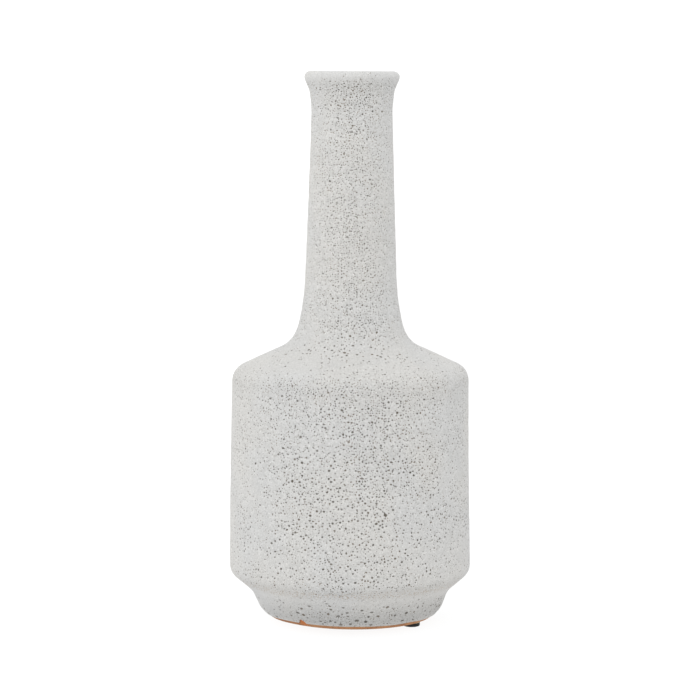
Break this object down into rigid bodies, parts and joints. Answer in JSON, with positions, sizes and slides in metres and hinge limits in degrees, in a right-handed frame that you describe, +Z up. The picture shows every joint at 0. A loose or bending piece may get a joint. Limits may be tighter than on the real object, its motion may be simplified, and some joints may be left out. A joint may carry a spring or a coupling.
{
  "type": "bottle vase",
  "caption": "Tall bottle vase with a slim neck, rolled lip, cylindrical body, narrow foot, pitted matte glaze and rubber foot pads; holds stems and water.",
  "frame": {"origin": "on the ground at the middle of the foot, on the axis that the vase was turned about", "axes": "+Z up along the vase's axis; -Y towards the side with the front foot pad"},
  "size_m": [0.1349, 0.1348, 0.307],
  "materials": {
    "fired_clay": "bare orange-brown fired clay, dry and slightly gritty",
    "matte_glaze": "matte pale grey-white glaze with many small dark pits",
    "lining_glaze": "satin pale lining glaze",
    "pad_rubber": "matte black rubber",
    "adhesive": "thin translucent adhesive"
  },
  "bodies": {
    "root": {"clay_body": "fired_clay", "outer_glaze": "matte_glaze", "inner_glaze": "lining_glaze", "foot_pad_front": "pad_rubber", "foot_pad_side": "pad_rubber", "foot_pad_back": "pad_rubber", "pad_adhesive_front": "adhesive", "pad_adhesive_side": "adhesive", "pad_adhesive_back": "adhesive"}
  },
  "joints": []
}
